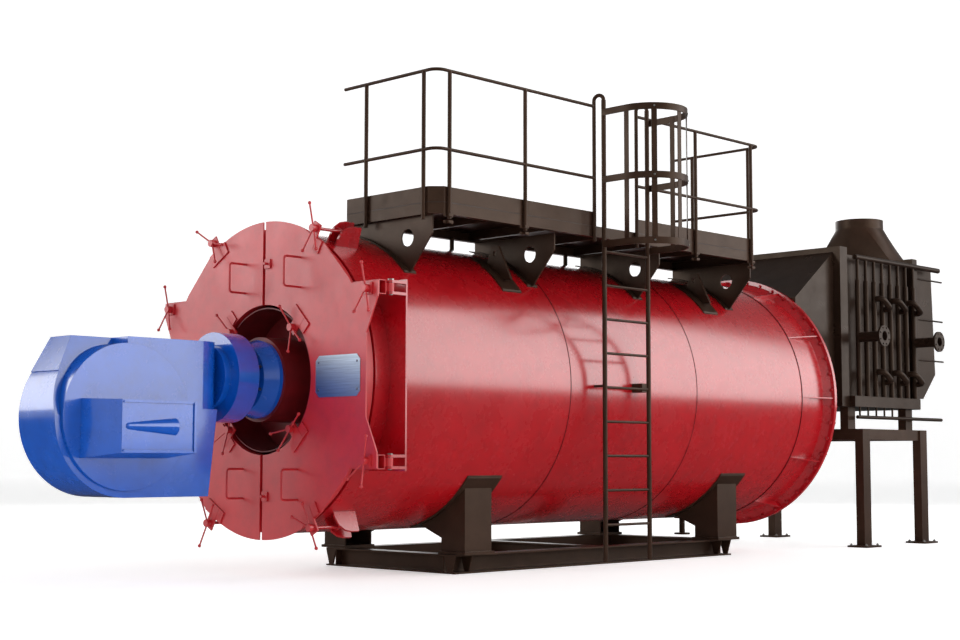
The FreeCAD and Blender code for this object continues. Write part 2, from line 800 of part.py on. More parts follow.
def burner_damper():
    """Air intake box that flares on to the fan's side, with a hooded slot in its cover."""
    foot = "-burner_half_width - side_disc_rise"
    plan_form = prism("damper_plan", "XY",
                      [("-damper_start - damper_flare", foot), ("-damper_start", "-damper_reach"),
                       ("-damper_start + damper_length", "-damper_reach"),
                       ("-damper_start + damper_length + damper_spread / 3", foot)],
                      "2 * damper_height", (0, 0, "axis_height - damper_top - 1.5 * damper_height"))
    side_form = prism("damper_side", "YZ",
                      [(foot, "-damper_top + damper_spread / 3"), ("-damper_reach", "-damper_top"),
                       ("-damper_reach", "-damper_top - damper_height"),
                       (foot, "-damper_top - damper_height - damper_spread")],
                      "2 * damper_length", ("-damper_start - damper_length / 2", 0, "axis_height"))
    panel = box("damper_panel", ("damper_length - 2 * damper_rim", "20", "damper_height - 2 * damper_rim"),
                ("-damper_start + damper_rim", "-damper_reach - 8",
                 "axis_height - damper_top - damper_height + damper_rim"))
    body = cut("damper_shell", common("damper_form", [plan_form, side_form]), panel)
    y = "-damper_reach + 12 + scoop_sink"
    middle = "axis_height - damper_top - damper_height / 2"
    length = "scoop_start - scoop_end"
    hood = fuse("scoop_solid", [cone("scoop_cone", "scoop_tip", "scoop_radius", length,
                                     ("-scoop_start", y, middle), "X"),
                                ball("scoop_end_ball", "scoop_tip", ("-scoop_start", y, middle))])
    mouth = cone("scoop_mouth", "0", "scoop_radius - scoop_wall", "(%s) / 2 + 1" % length,
                 ("-(scoop_start + scoop_end) / 2", y, middle), "X")
    node("air_damper_box", fuse("damper_solid", [body, cut("scoop", hood, mouth)]))


def burner_head():
    """Short throat, round housing, square neck and the drum that meets the mounting tube."""
    solids = [boiler_cylinder("head_throat", "head_throat_radius", "-outlet_x", "-head_ring_front"),
              boiler_cylinder("head_ring", "head_ring_radius", "-head_ring_front", "-head_ring_back"),
              box("head_neck", ("head_ring_back - mount_front - dish_thickness", "2 * head_neck_half",
                                "2 * head_neck_half"),
                  ("-head_ring_back", "-head_neck_half", "axis_height - head_neck_half"))]
    node("burner_head", fuse("head_solid", solids))
    drum = [cone("drum_front", "dish_nose_radius", "dish_radius", "dish_thickness - dish_rim",
                 ("-mount_front - dish_thickness", 0, "axis_height"), "X"),
            boiler_cylinder("drum_rim", "dish_radius", "-mount_front - dish_rim", "-mount_front")]
    node("burner_flange", fuse("burner_flange_body", drum))


# ---------------------------------------------------------------- skid and saddles
def skid():
    """Two channels that open outwards, with tapered stiffeners, and I-section cross beams."""
    edge = "skid_half_width"
    outer, inner = "-" + edge, "-%s + skid_flange" % edge
    beam = prism("skid_beam", "YZ", [(outer, 0), (inner, 0), (inner, "skid_height"), (outer, "skid_height"),
                                     (outer, "skid_height - skid_plate"),
                                     (inner + " - skid_web", "skid_height - skid_plate"),
                                     (inner + " - skid_web", "skid_plate"), (outer, "skid_plate")],
                 "skid_back - skid_front", ("skid_front", 0, 0))
    stiffeners = []
    top = "skid_height - skid_plate"
    for k, station in enumerate(("skid_front", "saddle_front_x", "saddle_rear_x", "skid_back - saddle_plate")):
        stiffeners.append(prism("stiffener_%d" % k, "YZ",
                                [(outer, top), (outer + " + stiffener_top", top),
                                 (outer + " + (stiffener_top + stiffener_foot) / 2", "skid_plate"),
                                 (outer + " + (stiffener_top - stiffener_foot) / 2", "skid_plate")],
                                "saddle_plate", (station, 0, 0)))
    near = fuse("skid_near", [beam] + stiffeners)
    node("skid_beams", group("skid_pair", [near, mirrored("skid_far", near)]))
    inner = edge + " - skid_flange"
    crosses = []
    for k, station in enumerate(("skid_front", "(skid_front + skid_back - cross_width) / 2",
                                 "skid_back - cross_width")):
        solid = box("cross_%d" % k, ("cross_width", "2 * (%s)" % inner, "skid_height"),
                    (station, "-(%s)" % inner, 0))
        slots = [box("cross_%d_slot_%s" % (k, side),
                     ("(cross_width - skid_web) / 2", "2 * skid_half_width", "skid_height - 2 * skid_plate"),
                     (start, "-skid_half_width", "skid_plate"))
                 for side, start in (("front", station),
                                     ("back", "%s + (cross_width + skid_web) / 2" % station))]
        crosses.append(cut("cross_beam_%d" % k, solid, group("cross_slots_%d" % k, slots)))
    node("skid_cross_beams", group("skid_crosses", crosses))


def saddle(word, station):
    """Two boxed cradles, one on each skid beam, with a wear band on the shell."""
    start = "%s - saddle_width / 2" % station
    webs = [("-saddle_reach", "skid_height"), ("-saddle_inner", "skid_height"),
            ("-saddle_inner", "saddle_heel"), ("-saddle_toe", "saddle_toe_z"),
            ("-saddle_toe", "axis_height"), ("-saddle_reach", "axis_height")]
    parts = []
    for k, place_x in enumerate((start, "%s + saddle_width - saddle_plate" % start)):
        parts.append(prism("saddle_%s_web_%d" % (word, k), "YZ", webs, "saddle_plate", (place_x, 0, 0)))
    parts.append(box("saddle_%s_face" % word, ("saddle_width", "saddle_plate", "axis_height - skid_height"),
                     (start, "-saddle_reach", "skid_height")))
    parts.append(box("saddle_%s_base" % word,
                     ("saddle_width + 40", "saddle_reach - saddle_inner + 40", "saddle_base"),
                     ("%s - 20" % start, "-saddle_reach - 20", "skid_height")))
    band_x = "%s - saddle_band_width / 2" % station
    band = boiler_ring("saddle_%s_strip" % word, "shell_radius + pad_thickness", "shell_radius", band_x,
                       "%s + saddle_band_width" % band_x)
    window = box("saddle_%s_window" % word,
                 ("saddle_band_width", "saddle_band_reach - saddle_band_start", "axis_height"),
                 (band_x, "-saddle_band_reach", 0))
    parts.append(common("saddle_%s_band" % word, [band, window]))
    seat = boiler_cylinder("saddle_%s_seat" % word, "shell_radius + seat_gap", "%s - 50" % band_x,
                           "%s + saddle_band_width + 50" % band_x)
    near = cut("saddle_%s_near" % word, fuse("saddle_%s_solid" % word, parts), seat)
    node("saddle_" + word, group("saddle_%s_pair" % word,
                                 [near, mirrored("saddle_%s_far" % word, near)]))


# ---------------------------------------------------------------- service platform
def plan(name, inset, low, height):
    """The platform's plan, drawn in by an inset, with its two near corners cut off."""
    chamfer = "corner_cut - 0.586 * (%s)" % inset
    start, end = "platform_start + " + inset, "platform_end - " + inset
    near, far = "-platform_near + " + inset, "-platform_far - " + inset
    return prism(name, "XY", [(start, far), (start, "%s + %s" % (near, chamfer)),
                              ("%s + %s" % (start, chamfer), near), ("%s - (%s)" % (end, chamfer), near),
                              (end, "%s + %s" % (near, chamfer)), (end, far)], height, (0, 0, low))


def platform():
    low = "platform_height - floor_plate - channel_depth"
    fascia = cut("fascia", plan("fascia_outer", "0", low, "channel_depth"),
                 plan("fascia_inner", "channel_wall", low + " - 1", "channel_depth + 2"))
    lips = []
    for word, level in (("low", low), ("high", "platform_height - floor_plate - channel_wall")):
        lips.append(cut("lip_" + word, plan("lip_outer_" + word, "0", level, "channel_wall"),
                        plan("lip_inner_" + word, "channel_flange", level + " - 1", "channel_wall + 2")))
    joists = []
    for k in range(1, int((value["platform_end"] - value["platform_start"]) / value["joist_pitch"])):
        joists.append(box("joist_%d" % k, ("joist_width", "platform_near - platform_far - 2 * channel_wall",
                                           "channel_depth - 20"),
                          ("platform_start + %d * joist_pitch" % k, "-platform_near + channel_wall",
                           low + " + 20")))
    props = []
    seat_z = "axis_height + sqrt((shell_radius + seat_gap) ^ 2 - (prop_y + prop_radius) ^ 2)"
    for word in ("one", "two"):
        props.append(cylinder("prop_" + word, "prop_radius", "%s + 20 - (%s)" % (low, seat_z),
                              ("prop_%s_x" % word, "-prop_y", seat_z)))
    node("platform_frame", cut("platform_frame_body", fuse("platform_solid", [fascia] + lips + joists + props),
                               boiler_cylinder("prop_seat", "shell_radius + seat_gap", "platform_start",
                                               "platform_end")))
    node("platform_floor", plan("platform_floor_body", "0", "platform_height - floor_plate", "floor_plate"))


def toe_boards():
    ring = cut("toe_ring", plan("toe_outer", "0", "platform_height", "toe_height"),
               plan("toe_inner", "toe_wall", "platform_height - 1", "toe_height + 2"))
    gate = box("toe_gate", ("gate_post_two - gate_post_one", "platform_near", "2 * toe_height"),
               ("gate_post_one", "-platform_near - 200", "platform_height - 5"))
    back = box("toe_back", ("platform_end - platform_start - 2 * toe_back_inset", "200", "2 * toe_height"),
               ("platform_start + toe_back_inset", "-platform_far - 100", "platform_height - 5"))
    node("toe_boards", cut("toe_boards_body", ring, group("toe_openings", [gate, back])))


def bracket_pad(name, start, width, near, far):
    """A saddle strip on the shell's crown between two distances from the centre plane."""
    strip = boiler_ring(name + "_strip", "shell_radius + pad_thickness", "shell_radius + seat_gap", start,
                        "%s + (%s)" % (start, width))
    window = box(name + "_window", (width, "(%s) - (%s)" % (near, far), "shell_radius + 50"),
                 (start, "-(%s)" % near, "axis_height"))
    return common(name, [strip, window])


def platform_brackets():
    low = "platform_height - floor_plate - channel_depth"
    brackets = []
    for k in range(4):
        station = "bracket_first + %d * bracket_pitch" % k
        web = prism("bracket_web_%d" % k, "YZ",
                    [("-platform_far - 20", low), ("-bracket_reach", low),
                     ("-bracket_reach", low + " - bracket_corner"),
                     ("-bracket_tip_y", "axis_height + bracket_tip_z"),
                     ("-platform_far - 20", "axis_height + bracket_tip_z")],
                    "bracket_thickness", ("%s - bracket_thickness / 2" % station, 0, 0))
        pad = bracket_pad("bracket_pad_%d" % k, "%s - pad_width / 2" % station, "pad_width",
                          "bracket_tip_y - 10", "platform_far")
        openings = [cylinder("bracket_hole_%d" % k, "bracket_hole_radius", "100",
                             ("%s - 50" % station, "-bracket_hole_y", low + " - bracket_hole_drop"), "X"),
                    boiler_cylinder("bracket_seat_%d" % k, "shell_radius + seat_gap", "%s - 200" % station,
                                    "%s + 200" % station)]
        brackets.append(cut("platform_bracket_%d" % k, fuse("bracket_weld_%d" % k, [web, pad]),
                            group("bracket_openings_%d" % k, openings)))
    node("platform_brackets", group("brackets_all", brackets))


def lifting_lugs():
    lugs = []
    for word in ("one", "two"):
        station = "lug_%s_x" % word
        plate = prism("eye_plate_" + word, "YZ",
                      [("-eye_top_y + eye_half", "eye_top"), ("-eye_top_y - eye_half", "eye_top"),
                       ("-eye_foot_y", "eye_foot"), ("-eye_top_y + 4 * eye_half", "eye_foot")],
                      "eye_plate", ("%s - eye_plate / 2" % station, 0, 0))
        pad = bracket_pad("eye_pad_" + word, "%s - eye_pad_width / 2" % station, "eye_pad_width",
                          "eye_pad_foot", "eye_top_y - 190")
        openings = [cylinder("eye_hole_" + word, "eye_hole_radius", "100",
                             ("%s - 50" % station, "-eye_top_y", "eye_top - eye_drop"), "X"),
                    boiler_cylinder("eye_seat_" + word, "shell_radius + seat_gap", "%s - 200" % station,
                                    "%s + 200" % station)]
        lugs.append(cut("lifting_lug_" + word, fuse("eye_weld_" + word, [plate, pad]),
                        group("eye_openings_" + word, openings)))
    node("lifting_lugs", group("lifting_lugs_all", lugs))


def rail_post(name, x, y, top):
    low = "platform_height - floor_plate - channel_depth - post_overhang"
    return cylinder(name, "post_radius", "%s - (%s)" % (top, low), (x, y, low))


def guard_rails():
    near_y = -value["platform_near"] - value["post_radius"]
    front_x = value["platform_start"] - value["post_radius"]
    rear_x = value["platform_end"] + value["post_radius"]
    heights = {"top": value["platform_height"] + value["rail_height"],
               "middle": value["platform_height"] + value["mid_rail_height"]}
    radius = value["rail_radius"]
    front = []
    rear = []
    for word, level in heights.items():
        front.append(rod("front_rail_" + word,
                         [(value["gate_post_one"], near_y, level), (front_x, near_y, level),
                          (front_x, -value["rail_tail"], level)], value["corner_radius"], radius))
        rear.append(rod("rear_rail_" + word,
                        [(value["gate_post_two"], near_y, level), (rear_x, near_y, level),
                         (rear_x, -value["rail_tail"], level)], value["corner_radius"], radius))
    side = "-platform_near - post_radius"
    top = "platform_height + rail_height"
    for k in range(2):
        front.append(rail_post("front_post_%d" % k, "post_one_x + %d * post_pitch" % k, side, top))
    front.append(rail_post("gate_post_front", "gate_post_one", side, "hook_spring"))
    for word in ("far", "near"):
        front.append(rail_post("front_end_post_" + word, "platform_start - post_radius",
                               "-end_post_" + word, top))
        rear.append(rail_post("rear_end_post_" + word, "platform_end + post_radius",
                              "-end_post_" + word, top))
    rear.append(rail_post("gate_post_rear", "gate_post_two", side, "hook_spring"))
    for k, station in enumerate(("gate_post_two + post_pitch", "last_post_x")):
        rear.append(rail_post("rear_post_%d" % k, station, side, top))
    node("guard_rail_front", fuse("guard_rail_front_body", front))
    node("guard_rail_rear", fuse("guard_rail_rear_body", rear))


# ---------------------------------------------------------------- ladder and cage
def ladder():
    y = "-platform_near - ladder_offset"
    parts = []
    for word, post in (("one", "gate_post_one"), ("two", "gate_post_two")):
        x = "stile_%s_x" % word
        parts.append(cylinder("stile_" + word, "stile_radius", "hook_spring - ladder_bottom",
                              (x, y, "ladder_bottom")))
        parts.append(hook("hook_" + word, value["gate_post_" + word], value[x]))
    length = "platform_near + ladder_offset - shell_radius - seat_gap"
    parts.append(cylinder("standoff_rod", "rung_radius", length, ("stile_one_x", y, "axis_height"), "Y"))
    parts.append(box("standoff_bracket", ("standoff_width", length, "standoff_height"),
                     ("stile_two_x - standoff_width", y, "axis_height - standoff_height / 2")))
    count = int((value["platform_height"] - value["rung_first"]) / value["rung_pitch"]) + 1
    for k in range(count):
        parts.append(cylinder("rung_%d" % k, "rung_radius", "stile_two_x - stile_one_x",
                              ("stile_one_x", y, "rung_first + %d * rung_pitch" % k), "X"))
    node("ladder", fuse("ladder_body", parts))


def hook(name, post_x, stile_x):
    """The bend over the top that carries a stile back to its gate post."""
    post = FreeCAD.Vector(post_x, -value["platform_near"] - value["post_radius"], value["hook_spring"])
    stile = FreeCAD.Vector(stile_x, -value["platform_near"] - value["ladder_offset"], value["hook_spring"])
    rise = FreeCAD.Vector(0, 0, (stile - post).Length / 2)
    spine = Part.Wire([Part.Arc(post, (post + stile) * 0.5 + rise, stile).toShape()])
    section = Part.Wire(Part.makeCircle(value["post_radius"], post, FreeCAD.Vector(0, 0, 1)))
    thing = document.addObject("Part::Feature", name)
    thing.Shape = spine.makePipeShell([section], True, False)
    return thing


def cage():
    """Three flat hoops round the ladder with five upright straps inside them."""
    centre_x = "(stile_one_x + stile_two_x) / 2"
    inner = "(stile_two_x - stile_one_x) / 2 + stile_radius"
    y = "-platform_near - ladder_offset"
    parts = []

    def hoop_shape(name, radius, low, height):
        round_part = cylinder(name + "_round", radius, height, (centre_x, "-cage_centre_y", low))
        side_part = box(name + "_sides", ("2 * (%s)" % radius, "cage_centre_y - platform_near - ladder_offset",
                                          height),
                        ("%s - (%s)" % (centre_x, radius), "-cage_centre_y", low))
        return fuse(name, [round_part, side_part])

    for word in ("top", "middle", "bottom"):
        low = "cage_%s - cage_band / 2" % word
        outer = hoop_shape("hoop_outer_" + word, inner + " + cage_thick", low, "cage_band")
        hollow = hoop_shape("hoop_inner_" + word, inner, low + " - 1", "cage_band + 2")
        room = box("hoop_mouth_" + word, ("2 * (%s)" % inner, "cage_mouth", "cage_band + 2"),
                   ("%s - (%s)" % (centre_x, inner), y + " - 50", low + " - 1"))
        parts.append(cut("hoop_" + word, outer, group("hoop_room_" + word, [hollow, room])))
    for k in range(5):
        strap = box("strap_%d" % k, ("strap_thick", "strap_width", "cage_top - cage_bottom + cage_band"),
                    ("%s + strap_sink - strap_thick" % inner, "-strap_width / 2", 0))
        parts.append(group("strap_turn_%d" % k, [strap], (centre_x, "-cage_centre_y",
                                                          "cage_bottom - cage_band / 2"),
                           (0, 0, 1), "-180 + %d * 45" % k))
    node("ladder_cage", fuse("cage_body", parts))


# ---------------------------------------------------------------- heat recovery unit
def inlet_hood():
    start = "flange_face + cover_thickness"
    node("inlet_hood", prism("inlet_hood_body", "XZ",
                             [(start, "hood_mouth_low"), (start, "hood_mouth_high"),
                              ("unit_start", "unit_top - hood_step"), ("unit_start", "unit_bottom + 20")],
                             "2 * unit_half_width", (0, "-unit_half_width", 0)))


def coil_casing():
    frame = box("unit_frame", ("unit_flange_depth", "2 * unit_flange_half", "unit_top - unit_bottom"),
                ("unit_start", "-unit_flange_half", "unit_bottom"))
    casing = box("unit_casing", ("coil_end - unit_start", "2 * unit_half_width",
                                 "unit_top - hood_step - unit_bottom"),
                 ("unit_start", "-unit_half_width", "unit_bottom"))
    rear = box("unit_rear_frame", ("rear_flange_depth", "2 * unit_flange_half", "unit_top - unit_bottom"),
               ("coil_end - rear_flange_depth", "-unit_flange_half", "unit_bottom"))
    trough = box("unit_trough", ("coil_end - rear_flange_depth - unit_start - unit_flange_depth",
                                 "trough_depth", "trough_height"),
                 ("unit_start + unit_flange_depth", "-unit_half_width - trough_depth", "unit_bottom"))
    node("coil_casing", fuse("coil_casing_body", [frame, casing, rear, trough]))


def outlet_hood():
    parts = [prism("outlet_hood_form", "XZ",
                   [("coil_end", "hood_low"), ("coil_end", "unit_top - hood_step"),
                    ("hood_end - hood_step", "unit_top - hood_step"), ("hood_end", "hood_low + hood_chamfer_z"),
                    ("hood_end - hood_chamfer_x", "hood_low")],
                   "2 * unit_half_width", (0, "-unit_half_width", 0))]
    for k in range(3):
        parts.append(cylinder("probe_%d" % k, "probe_radius", "hood_end + probe_overrun - coil_end",
                              ("coil_end", "-unit_half_width - probe_radius / 2",
                               "probe_first + %d * probe_pitch" % k), "X"))
    node("outlet_hood", fuse("outlet_hood_body", parts))


def flue_outlet():
    """Square-to-round piece: each side of the base runs up to a quarter of the round."""
    low = value["unit_top"] - value["hood_step"]
    high = value["flue_top"] - value["flue_collar"]
    half_x, half_y = value["flue_base_half_x"], value["flue_base_half_y"]
    corners = [(half_x, half_y), (-half_x, half_y), (-half_x, -half_y), (half_x, -half_y)]
    centre = FreeCAD.Vector(value["flue_x"], 0, 0)
    base = Part.makePolygon([centre + FreeCAD.Vector(x, y, low) for x, y in corners + corners[:1]])
    radius = value["flue_radius"]
    arcs = []
    for k in range(4):
        angles = [math.radians(45 + 90 * k + step) for step in (0, 45, 90)]
        arcs.append(Part.Arc(*[centre + FreeCAD.Vector(radius * math.cos(a), radius * math.sin(a), high)
                               for a in angles]).toShape())
    taper = document.addObject("Part::Feature", "flue_taper")
    taper.Shape = Part.makeLoft([base, Part.Wire(arcs)], True, True)
    collar = cylinder("flue_collar_round", "flue_radius", "flue_collar", ("flue_x", 0, "flue_top - flue_collar"))
    bore = cylinder("flue_bore", "flue_radius - flue_wall", "flue_collar + 1",
                    ("flue_x", 0, "flue_top - flue_collar"))
    node("flue_outlet", fuse("flue_body", [taper, cut("flue_collar_tube", collar, bore)]))


def headers():
    parts = [cylinder("manifold", "manifold_radius", "bar_end - bar_start", ("bar_start", "-header_y",
                                                                             "manifold_z"), "X")]
    for k in range(int(value["header_count"])):
        x = "header_first + %d * header_pitch" % k
        low = "unit_bottom + trough_height"
        parts.append(cylinder("header_%d" % k, "header_radius", "header_top - (%s)" % low, (x, "-header_y", low)))
        parts.append(cylinder("riser_%d" % k, "riser_radius", "manifold_z - header_top",
                              (x, "-header_y", "header_top")))
    node("header_pipes", fuse("header_pipes_body", parts))
    drains = [cylinder("drain_bar", "bar_radius", "bar_end - bar_start", ("bar_start", "-header_y",
                                                                          "drain_bar_z"), "X")]
    for k in range(5):
        drains.append(cylinder("drain_leg_%d" % k, "drain_pipe_radius", "unit_bottom - drain_bar_z",
                               ("header_first + %d * header_pitch" % k, "-header_y", "drain_bar_z")))
    node("drain_pipes", fuse("drain_pipes_body", drains))


def return_bends():
    face = -value["header_y"] - value["header_radius"]
    front = face - value["bend_reach"]
    bends = []
    for row, level in enumerate((value["bend_upper"], value["bend_lower"])):
        for k in range(1, 4):
            left = value["header_first"] + 2 * k * value["header_pitch"]
            right = left + value["header_pitch"]
            high, low = level + value["bend_rise"], level - value["bend_rise"]
            bends.append(rod("bend_%d_%d" % (row, k), [(left, face, high), (left, front, high),
                                                      (right, front, low), (right, face, low)],
                             value["bend_radius"], value["bend_tube"]))
    node("return_bends", group("bends", bends))


def water_nozzles():
    nozzles = []
    for word, column in (("inlet", "0"), ("outlet", "header_count - 1")):
        x = "header_first + (%s) * header_pitch" % column
        face = "-header_y - header_radius"
        length = "nozzle_reach - header_y - header_radius"
        pipe = cylinder(word + "_pipe", "nozzle_radius", length, (x, "-nozzle_reach", "nozzle_z"), "Y")
        flange = cylinder(word + "_flange", "nozzle_flange_radius", "nozzle_flange_thickness",
                          (x, "-nozzle_reach", "nozzle_z"), "Y")
        bores = [cylinder(word + "_bore", "nozzle_bore", length + " + 2", (x, "-nozzle_reach - 1", "nozzle_z"),
                          "Y")]
        bolt = cylinder(word + "_bolt_hole", "nozzle_bolt_hole", "nozzle_flange_thickness + 2",
                        ("nozzle_bolt_circle", 0, "-1"))
        turned = group(word + "_bolt_axis", [bolt], (0, 0, 0), (1, 0, 0), "-90")
        for k in range(8):
            bores.append(group("%s_bolt_%d" % (word, k), [turned], (x, "-nozzle_reach", "nozzle_z"),
                               (0, 1, 0), "22.5 + %d * 45" % k))
        nozzles.append(cut(word + "_nozzle", fuse(word + "_solid", [pipe, flange]),
                           group(word + "_bores", bores)))
    node("water_nozzles", group("nozzles", nozzles))


def stand():
    parts = []
    under = "stand_top - stand_beam"
    for k, x in enumerate(("stand_front", "stand_back - stand_leg_x")):
        for side in ("near", "far"):
            y = {"near": "-stand_half_width", "far": "stand_half_width - stand_leg_y"}[side]
            name = "%s_%d" % (side, k)
            parts.append(box("leg_" + name, ("stand_leg_x", "stand_leg_y", under), (x, y, 0)))
            parts.append(box("foot_" + name, ("stand_leg_x + 2 * stand_foot_over",
                                              "stand_leg_y + 2 * stand_foot_over", "stand_foot"),
                             ("%s - stand_foot_over" % x, "%s - stand_foot_over" % y, 0)))
            stub_y = {"near": "-stand_half_width + stub_inset",
                      "far": "stand_half_width - stub_inset - stand_leg_y"}[side]
            parts.append(box("stub_" + name, ("stand_leg_x", "stand_leg_y", "unit_bottom - stand_top"),
                             (x, stub_y, "stand_top")))
        parts.append(box("stand_cross_%d" % k, ("stand_leg_x", "2 * stand_half_width", "stand_beam"),
                         (x, "-stand_half_width", under)))
    for side in ("near", "far"):
        y = {"near": "-stand_half_width + 20", "far": "stand_half_width - stand_leg_y"}[side]
        parts.append(box("stand_long_" + side, ("stand_back - stand_front", "stand_leg_y - 20", "stand_beam"),
                         ("stand_front", y, under)))
    node("unit_stand", fuse("stand_body", parts))


# ---------------------------------------------------------------- build, check and write
boiler_shell()
end_plates()
rear_band()
blowdown_nozzle()
burner_recess()
door_leaf()
hinge_arms()
hinge_posts()
door_clamps()
door_handles()
nameplate()
clamp_brackets()
burner_casing()
burner_damper()
burner_head()
skid()
saddle("front", "saddle_front_x")
saddle("rear", "saddle_rear_x")
platform()
toe_boards()
platform_brackets()
lifting_lugs()
guard_rails()
ladder()
cage()
inlet_hood()
coil_casing()
outlet_hood()
flue_outlet()
headers()
return_bends()
water_nozzles()
stand()
document.recompute()

faults = [thing.Label for thing in document.Objects if {"Invalid", "Error"} & set(thing.State)]
faults += [thing.Label + " shape" for thing in nodes if thing.Shape.isNull() or not thing.Shape.isValid()]
if faults:
    raise RuntimeError("not built: " + ", ".join(faults))
for thing in nodes:
    thing.Shape.exportStep("parts/%s.step" % thing.Label)
    print(thing.Label, len(thing.Shape.Solids), round(thing.Shape.Volume / 1e9, 4))
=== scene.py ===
"""Looks of the boiler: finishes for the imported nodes, fasteners, weld beads, studio and camera."""
import json
import math
import random

import bmesh
import bpy
from mathutils import Matrix, Vector, noise


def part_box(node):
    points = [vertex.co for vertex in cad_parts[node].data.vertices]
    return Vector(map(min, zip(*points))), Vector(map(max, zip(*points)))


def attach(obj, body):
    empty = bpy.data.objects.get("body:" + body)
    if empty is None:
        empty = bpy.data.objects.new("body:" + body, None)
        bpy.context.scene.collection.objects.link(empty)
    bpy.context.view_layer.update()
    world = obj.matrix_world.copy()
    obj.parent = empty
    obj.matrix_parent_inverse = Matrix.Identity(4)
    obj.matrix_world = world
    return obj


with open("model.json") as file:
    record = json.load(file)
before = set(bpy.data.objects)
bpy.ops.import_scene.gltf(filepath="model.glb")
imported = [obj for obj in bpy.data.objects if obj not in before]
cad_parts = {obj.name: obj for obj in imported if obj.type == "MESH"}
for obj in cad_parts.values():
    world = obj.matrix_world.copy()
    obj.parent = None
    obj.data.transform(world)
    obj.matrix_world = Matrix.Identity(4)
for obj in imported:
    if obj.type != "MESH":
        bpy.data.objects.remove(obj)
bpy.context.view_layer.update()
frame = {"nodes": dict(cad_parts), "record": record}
nodes = frame["nodes"]
record = frame["record"]
slot_of = {part["node"]: part["material_slot"] for part in record["subparts"]}

X, Y, Z = Vector((1, 0, 0)), Vector((0, 1, 0)), Vector((0, 0, 1))
AXIS_Z = 1.6
DOOR_FACE = 3.362  # from the closed doors' outer face back to the origin


# ------------------------------------------------------------------ material helpers
class Shader:
    """One material's node tree, built from left to right."""

    def __init__(self, name):
        self.material = bpy.data.materials.new(name)
        self.material.use_nodes = True
        self.tree = self.material.node_tree
        self.surface = self.tree.nodes["Principled BSDF"]
        self.place = self.add("ShaderNodeTexCoord").outputs["Object"]

    def add(self, kind, **settings):
        made = self.tree.nodes.new(kind)
        for key, setting in settings.items():
            setattr(made, key, setting)
        return made

    def link(self, source, target):
        self.tree.links.new(source, target)

    def set(self, socket, thing):
        if isinstance(thing, bpy.types.NodeSocket):
            self.link(thing, socket)
        else:
            socket.default_value = thing

    def noise(self, scale, detail=3.0, rough=0.5, place=None):
        made = self.add("ShaderNodeTexNoise")
        made.inputs["Scale"].default_value = scale
        made.inputs["Detail"].default_value = detail
        made.inputs["Roughness"].default_value = rough
        self.link(place or self.place, made.inputs["Vector"])
        return made.outputs["Fac"]

    def stretch(self, scale):
        made = self.add("ShaderNodeMapping")
        made.inputs["Scale"].default_value = scale
        self.link(self.place, made.inputs["Vector"])
        return made.outputs["Vector"]

    def ramp(self, source, low, high, start=0.0, end=1.0):
        made = self.add("ShaderNodeMapRange")
        self.link(source, made.inputs["Value"])
        for word, number in (("From Min", low), ("From Max", high), ("To Min", start), ("To Max", end)):
            made.inputs[word].default_value = number
        return made.outputs["Result"]

    def math(self, operation, first, second=0.5):
        made = self.add("ShaderNodeMath", operation=operation)
        self.set(made.inputs[0], first)
        self.set(made.inputs[1], second)
        return made.outputs["Value"]

    def mix(self, factor, first, second):
        made = self.add("ShaderNodeMix", data_type="RGBA")
        self.set(made.inputs["Factor"], factor)
        self.set(made.inputs[6], first)
        self.set(made.inputs[7], second)
        return made.outputs[2]

    def bump(self, height, distance, strength=1.0, below=None):
        made = self.add("ShaderNodeBump")
        made.inputs["Strength"].default_value = strength
        made.inputs["Distance"].default_value = distance
        self.link(height, made.inputs["Height"])
        if below is not None:
            self.link(below, made.inputs["Normal"])
        return made.outputs["Normal"]

    def soft_edges(self, radius):
        made = self.add("ShaderNodeBevel", samples=4)
        made.inputs["Radius"].default_value = radius
        return made.outputs["Normal"]

    def edges(self, radius):
        """1 on convex and concave edges, 0 on flats."""
        true_normal = self.add("ShaderNodeNewGeometry").outputs["True Normal"]
        made = self.add("ShaderNodeVectorMath", operation="DOT_PRODUCT")
        self.link(self.soft_edges(radius), made.inputs[0])
        self.link(true_normal, made.inputs[1])
        return self.ramp(made.outputs["Value"], 0.995, 0.90)

    def facing_up(self):
        made = self.add("ShaderNodeSeparateXYZ")
        self.link(self.add("ShaderNodeNewGeometry").outputs["Normal"], made.inputs[0])
        return made.outputs["Z"]

    def finish(self, colour, roughness, normal, metallic=0.0, coat=0.0, coat_roughness=0.06, coat_ior=1.5):
        for word, thing in (("Base Color", colour), ("Roughness", roughness), ("Normal", normal)):
            self.set(self.surface.inputs[word], thing)
        self.surface.inputs["Metallic"].default_value = metallic
        self.surface.inputs["Coat Weight"].default_value = coat
        self.surface.inputs["Coat Roughness"].default_value = coat_roughness
        self.surface.inputs["Coat IOR"].default_value = coat_ior
        return self.material


